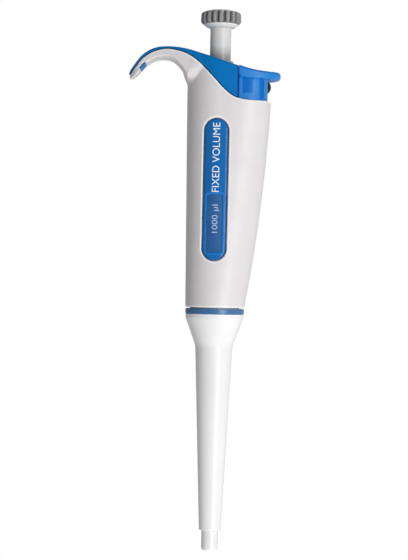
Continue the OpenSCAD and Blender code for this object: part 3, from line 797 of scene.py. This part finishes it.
NUT_ALLOY = metal("nut_alloy", (0.62, 0.63, 0.65, 1), (0.5, 0.51, 0.54, 1), 0.32, (1, 1, 0.3))
STEEL = metal("steel", (0.66, 0.66, 0.66, 1), (0.52, 0.52, 0.53, 1), 0.26)
SPRING_STEEL = metal("spring_steel", (0.5, 0.49, 0.47, 1), (0.36, 0.35, 0.34, 1), 0.3, (1, 1, 1))
LETTER_WHITE = moulded_plastic("letter_white", linear(248, 250, 252), linear(236, 240, 246), 0.4, grain=0.004)
LETTER_PALE = moulded_plastic("letter_pale", linear(186, 208, 236), linear(170, 196, 228), 0.4, grain=0.004)


def tinted_plate():
    """Glossy translucent blue, with painted shade darkening it towards its edge and a painted highlight on
    the border around the window.
    """
    f = Finish("plate_blue", Specular_IOR_Level=0.06, Coat_Weight=0.6, Coat_Roughness=0.07)
    base = f.colour(linear(0, 100, 172), linear(4, 108, 184), 14.0, detail=2, stretch=(1, 1, 0.4))
    # painted highlight on the border around the window
    base = f.mixed(f.stored("frame"), base, linear(14, 124, 202))
    # painted shade towards the plate's edge
    f.tint(f.mixed(f.stored("edge"), base, linear(8, 44, 96)))
    f.roughness(0.14, 0.24, 4.0, detail=3)
    f.bump(f.noise(6.0, 1), 0.02)
    return f.material


PLATE_BLUE = tinted_plate()


def printed_label():
    """Matt blue paper under the plate's window."""
    f = Finish("label_blue", Specular_IOR_Level=0.4)
    f.colour(linear(26, 84, 146), linear(36, 98, 160), 5.0, detail=3)
    f.roughness(0.35, 0.5, 1.0, detail=3)
    f.bump(f.noise(0.3, 3), 0.004)
    return f.material


LABEL_BLUE = printed_label()


def dress(ob, material, body_name, slot, *nodes):
    """Gives a new piece its material, its body and the CAD nodes that it stands for. slot is not used."""
    ob.data.materials.clear()
    ob.data.materials.append(material)
    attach(ob, body_name)
    if nodes:
        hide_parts(*nodes)
    return ob


# ---------------------------------------------------------------- handle, cover and ejector button

# Fine at the lower edge, around the plate's lower end and from below the ledge up, coarse between
HEAD_Z = LEDGE_Z[0] - 3
shell_levels = np.concatenate([
    line(HANDLE_Z0 - MARGIN, HANDLE_Z0 + 2.6, FINE)[:-1],
    line(HANDLE_Z0 + 2.6, plate_low[2] - 1.5, COARSE)[:-1],
    line(plate_low[2] - 1.5, plate_low[2] + 6, FINE)[:-1],
    line(plate_low[2] + 6, HEAD_Z, COARSE)[:-1],
    line(HEAD_Z, shell_high[2] + MARGIN, FINE)])
shell = moulded("handle_moulding", shell_field, shell_low, shell_high, levels=shell_levels)
paint(shell, "lip", shell_lip)
dress(shell, SHELL_WHITE, "handle", "shell_white", "handle_shell")
cover = moulded("cover_moulding", cover_field, cover_low, cover_high, FINE * 0.9)
paint(cover, "seam", cover_seam)
dress(cover, COVER_BLUE, "handle", "cover_blue", "top_cover")
button = moulded("thumb_ejector", button_field, button_low - (1, 0, 0), button_high, FINE * 0.85)
# painted shade in the floors of the button's panel and groove
paint(button, "panel_shade", button_recess_shade)
# painted shade along the upper edge of the button's pad
paint(button, "top", pad_top_shade)
dress(button, EJECTOR_BLUE, "ejector", "ejector_blue", "ejector_button")
plate = moulded("plate_lens", plate_field, plate_low, plate_high, FINE * 0.9)
paint(plate, "edge", plate_edge_shade)
paint(plate, "frame", plate_frame_highlight)
dress(plate, PLATE_BLUE, "handle", "plate_blue", "name_plate")


def curved_slab(name, low, high, front, back, steps=(24, 40)):
    """A thin sheet that follows the handle's face, from X and Z low to high, between two depths."""
    def at(i, j, layer):
        return layer * count + i * steps[1] + j

    xs, zs = np.linspace(low[0], high[0], steps[0]), np.linspace(low[1], high[1], steps[1])
    x, z = np.meshgrid(xs, zs, indexing="ij")
    count = steps[0] * steps[1]
    rows = []
    points = [np.stack([x, skin_y(x, z, out), z], axis=2).reshape(-1, 3) for out in (front, back)]
    for i in range(steps[0] - 1):
        for j in range(steps[1] - 1):
            quad = [(i, j), (i + 1, j), (i + 1, j + 1), (i, j + 1)]
            rows.append([at(*q, 0) for q in quad])
            rows.append([at(*q, 1) for q in reversed(quad)])
    rim = ([(i, 0) for i in range(steps[0])]
           + [(steps[0] - 1, j) for j in range(1, steps[1])]
           + [(i, steps[1] - 1) for i in range(steps[0] - 2, -1, -1)]
           + [(0, j) for j in range(steps[1] - 2, 0, -1)])
    for a, b in zip(rim, rim[1:] + rim[:1]):
        rows.append([at(*a, 0), at(*a, 1), at(*b, 1), at(*b, 0)])
    return add_mesh(name, np.vstack(points), rows)


label = curved_slab("label_strip", (label_low[0], label_low[2]), (label_high[0], label_high[2]), -0.25, -0.47)
dress(label, LABEL_BLUE, "handle", "label_blue", "volume_label")


LETTER_CUTS = 9                          # strips across the letters, so that they bend with the handle
RAISED, SUNK = 0.05, 0.08                # how far they stand out of the skin and reach into it


def lettering(name, words, low_z, high_z, centre_x, height, depth, material, slot):
    """Words that run up the handle's face from low_z to high_z, on a skin that lies depth outside it."""
    curve = bpy.data.curves.new(name, "FONT")
    curve.body = words
    curve.size = 1.0
    curve.resolution_u = 8
    holder = add_object(name + "_font", curve)
    bpy.context.view_layer.update()
    mesh = bpy.data.meshes.new_from_object(holder.evaluated_get(bpy.context.evaluated_depsgraph_get()))
    bpy.data.objects.remove(holder)
    co = np.array([v.co for v in mesh.vertices])
    co -= co.min(0)
    wide, tall = co[:, 0].max(), co[:, 1].max()
    bm = bmesh.new()
    bm.from_mesh(mesh)
    for v, p in zip(bm.verts, co):
        v.co = ((p[0] / wide) * (high_z - low_z), (p[1] / tall) * height, 0)
    bmesh.ops.remove_doubles(bm, verts=bm.verts, dist=0.01)
    for n in range(1, LETTER_CUTS):
        bmesh.ops.bisect_plane(bm, geom=bm.verts[:] + bm.edges[:] + bm.faces[:],
                               plane_co=(0, height * n / LETTER_CUTS, 0), plane_no=(0, 1, 0))
    made = bmesh.ops.extrude_face_region(bm, geom=bm.faces[:])
    top = {e for e in made["geom"] if isinstance(e, bmesh.types.BMVert)}
    for v in bm.verts:
        u, w = v.co[0], v.co[1]
        x, z = centre_x + height / 2 - w, low_z + u
        out = depth + (RAISED if v in top else -SUNK)
        y = float(skin_y(np.array(x), np.array(z), out))
        v.co = (x * MM, y * MM, z * MM)
    bmesh.ops.recalc_face_normals(bm, faces=bm.faces)
    bm.to_mesh(mesh)
    bm.free()
    mesh.name = name
    return dress(add_object(name, mesh), material, "handle", slot)


lettering("plate_words", "FIXED VOLUME", 164.2, 195.6, -1.0, 3.3, 0.15, LETTER_WHITE, "shell_white")
lettering("volume_marking", "1000 µl", 145.7, 158.5, -0.7, 3.2, -0.25, LETTER_PALE, "shell_white")


# ---------------------------------------------------------------- turned parts

top = knob_high[2]


def wave(angle):
    """1 along the middle of each of the push button's grooves, 0 along its ridges."""
    return 0.5 + 0.5 * np.cos(GROOVES * angle)


def grip(angle, radius, z):
    """Grooves, narrower than the ridges between them, that run out over the top's edge."""
    return 1.15 * wave(angle) ** 2.2 * ease((radius - 6.6) / 2.0)


def groove_floor(x, y, z):
    """The shaded floors of those grooves."""
    return wave(np.arctan2(y, x)) ** 2.5 * ease((np.hypot(x, y) - 7) / 1.4)


dome = [(r, top - r * r / 52, 8.0) for r in (7.0, 5.4, 3.8, 2.0)]
knob = turned("grip_button", [
    (0, 242.2, 0), (8.0, 242.2, 0.1), (8.0, 241.75, 0.1), (8.4, 241.8, 0.3), (9.3, 242.9, 0.8),
    (knob_high[0], 243.5, 0.8), (9.15, 246.6, 0.7), (8.4, 247.3, 0.5), *dome,
    (0, top, 0)], GROOVES * 16, grip)
paint(knob, "groove", groove_floor)
tube = turned("plunger_tube", [
    (ROD_R, 220, 0), (ROD_R, plunger_low[2], 0.2), (4.8, plunger_low[2], 0.3), (4.8, 240.1, 0.4),
    (6.3, 240.2, 1.6), (7.95, 241.5, 0.6), (7.95, plunger_high[2], 0.1), (ROD_R, plunger_high[2], 0.1),
    (ROD_R, 220, 0)])
collar = turned("service_collar", [
    (COLLAR_BORE, 210, 0), (COLLAR_BORE, 196.2, 0.2), (7.85, 196.2, 0.2), (7.85, 200.05, 0.1),
    (8.8, 200.05, 0.2), (8.8, 202.5, 0.2), (COLLAR_R, 202.5, 0.2), (COLLAR_R, collar_high[2], 0.4),
    (COLLAR_BORE, collar_high[2], 0.25), (COLLAR_BORE, 210, 0)])
ring = turned("blue_ring", [
    (SLEEVE_BORE, 110, 0), (SLEEVE_BORE, ring_low[2], 0.1), (ring_high[0], ring_low[2], 0.3),
    (ring_high[0], ring_high[2], 0.35), (SLEEVE_BORE, ring_high[2], 0.1), (SLEEVE_BORE, 110, 0)], 128)
sleeve = turned("ejector_cone", [
    (5.81, 50, 0), (4.15, 10.4, 0.1), (4.15, sleeve_low[2], 0.2), (5.0, sleeve_low[2], 0.5), (8.55, 94.2, 9),
    (13.35, 107.0, 3.5), (13.35, sleeve_high[2], 0.35), (SLEEVE_BORE, sleeve_high[2], 0.1),
    (SLEEVE_BORE, 106, 0.1), (11.75, 105.9, 0.05), (7.68, 95.1, 0.5), (5.81, 50, 0)], 128)
nozzle = turned("nozzle_cone", [
    (NOZZLE_BORE, 5, 0), (NOZZLE_BORE, 0, 0.3), (3.45, 0, 0.9), (3.8, 1.5, 1.5), (3.8, 9.2, 2),
    (6.2, 86, 0.5), (6.9, 88, 0.5), (6.9, 104, 0.1), (8.9, 104, 0.2), (8.9, 107.8, 0.2),
    (CYLINDER_R, 107.8, 0.1), (CYLINDER_R, 87, 0.2), (4.4, 87, 0.1), (4.4, 85, 0.3),
    (NOZZLE_BORE, 20, 0.5), (NOZZLE_BORE, 5, 0)])
for ob, material, body_name, slot, node in [
        (knob, BUTTON_GREY, "plunger", "button_grey", "push_button"),
        (tube, PLUNGER_GREY, "plunger", "plunger_grey", "plunger_sleeve"),
        (collar, COLLAR_GREY, "handle", "collar_grey", "calibration_collar"),
        (ring, RING_BLUE, "ejector", "ring_blue", "sleeve_ring"),
        (sleeve, SLEEVE_WHITE, "ejector", "sleeve_white", "ejector_sleeve"),
        (nozzle, CONE_WHITE, "handle", "cone_white", "tip_cone")]:
    dress(ob, material, body_name, slot, node)

# ---------------------------------------------------------------- CAD nodes that stay

# Each slot's material
slot_finish = {"inner_white": INNER_WHITE, "seal_white": SEAL_WHITE, "black_rubber": BLACK,
               "nut_alloy": NUT_ALLOY, "steel": STEEL, "spring_steel": SPRING_STEEL,
               "shell_white": SHELL_WHITE, "sleeve_white": SLEEVE_WHITE, "cone_white": CONE_WHITE,
               "cover_blue": COVER_BLUE, "ejector_blue": EJECTOR_BLUE, "ring_blue": RING_BLUE,
               "plate_blue": PLATE_BLUE, "label_blue": LABEL_BLUE, "button_grey": BUTTON_GREY,
               "plunger_grey": PLUNGER_GREY, "collar_grey": COLLAR_GREY}
for part in frame["record"]["subparts"]:
    ob = frame["nodes"][part["node"]]
    ob.data.materials.clear()
    ob.data.materials.append(slot_finish[part["material_slot"]])

# ---------------------------------------------------------------- stage, lights and camera

FLOOR_SIDE = 6.0
white = bpy.data.materials.new("studio_white")
white.use_nodes = True
white.node_tree.nodes.clear()
glow = white.node_tree.nodes.new("ShaderNodeEmission")
glow.inputs["Strength"].default_value = 1.0
surface = white.node_tree.nodes.new("ShaderNodeOutputMaterial").inputs["Surface"]
white.node_tree.links.new(glow.outputs[0], surface)
mesh = bpy.data.meshes.new("floor")
corners = [(-FLOOR_SIDE, -FLOOR_SIDE, 0), (FLOOR_SIDE, -FLOOR_SIDE, 0),
           (FLOOR_SIDE, FLOOR_SIDE, 0), (-FLOOR_SIDE, FLOOR_SIDE, 0)]
mesh.from_pydata(corners, [], [(0, 1, 2, 3)])
mesh.materials.append(white)
floor = add_object("floor", mesh)
floor.location.z = -0.0005
floor.visible_diffuse = False
floor.visible_glossy = False
floor.visible_shadow = False

world = bpy.data.worlds.new("studio")
bpy.context.scene.world = world
world.use_nodes = True
nodes, links = world.node_tree.nodes, world.node_tree.links
background = nodes["Background"]
to_light = Vector((0.9, -0.1, -0.45)).normalized()
place = nodes.new("ShaderNodeTexCoord")
facing = nodes.new("ShaderNodeVectorMath")
facing.operation = "DOT_PRODUCT"
facing.inputs[1].default_value = to_light
links.new(place.outputs["Generated"], facing.inputs[0])
level = nodes.new("ShaderNodeMapRange")
level.interpolation_type = "SMOOTHSTEP"
for key, number in (("From Min", -0.9), ("From Max", 0.9), ("To Min", 0.29), ("To Max", 0.52)):
    level.inputs[key].default_value = number
links.new(facing.outputs["Value"], level.inputs["Value"])
seen = nodes.new("ShaderNodeLightPath")
strength = nodes.new("ShaderNodeMix")
links.new(seen.outputs["Is Camera Ray"], strength.inputs["Factor"])
links.new(level.outputs["Result"], strength.inputs["A"])
strength.inputs["B"].default_value = 1.0
links.new(strength.outputs["Result"], background.inputs["Strength"])
background.inputs["Color"].default_value = (1, 1, 1, 1)


def softbox(name, place, target, size, power):
    light = bpy.data.lights.new(name, "AREA")
    light.shape = "RECTANGLE"
    light.size, light.size_y = size
    light.energy = power
    ob = add_object(name, light)
    ob.location = place
    ob.rotation_euler = (Vector(target) - Vector(place)).to_track_quat("-Z", "Y").to_euler()
    ob.visible_camera = False


softbox("key", (0.52, -0.87, 0.05), (0, 0, 0.13), (0.34, 0.9), 6.6)
softbox("table bounce", (-0.02, -0.08, -0.5), (-0.01, 0, 0.2), (0.5, 0.5), 1.6)
softbox("rear fill", (0.35, 0.85, 0.85), (0, 0, 0.13), (0.8, 0.8), 4.5)

LEAN = math.radians(1.29)                # roll of the camera
DISTANCE, AIM_X, AIM_Z = 0.943, -0.0052, 0.1242
camera = bpy.data.cameras.new("camera")
camera.lens = 131.8
camera.sensor_width = 36
camera.clip_start, camera.clip_end = 0.05, 50
eye = add_object("camera", camera)
eye.matrix_world = Matrix(((math.cos(LEAN), -math.sin(LEAN), 0, AIM_X),
                           (0, 0, -1, -DISTANCE),
                           (math.sin(LEAN), math.cos(LEAN), 0, AIM_Z),
                           (0, 0, 0, 1)))
bpy.context.scene.camera = eye
bpy.context.scene.view_settings.view_transform = "Standard"
